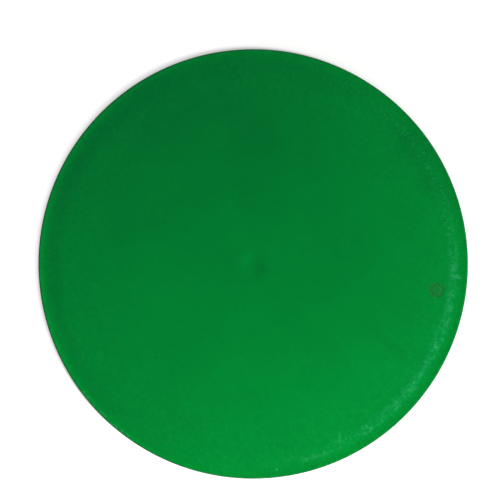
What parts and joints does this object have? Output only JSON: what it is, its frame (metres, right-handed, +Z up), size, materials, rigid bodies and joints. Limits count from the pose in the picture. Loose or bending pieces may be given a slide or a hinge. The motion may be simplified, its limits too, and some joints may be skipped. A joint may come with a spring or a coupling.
{
  "type": "floor marker",
  "caption": "Flat round floor marker in soft green plastic, with a flat crown, a shallow ring hollow, a low rim and a grooved base.",
  "frame": {"origin": "middle of the underside, on the floor that the disc lies on", "axes": "+Z up, out of the crown; +Y towards the top of the picture and +X to its right, so that the round moulded mark lies near +X"},
  "size_m": [0.23, 0.23, 0.0025],
  "materials": {
    "soft_green_plastic": "satin moulded soft vinyl, fine grain"
  },
  "bodies": {
    "root": {"marker_disc": "soft_green_plastic"}
  },
  "joints": []
}
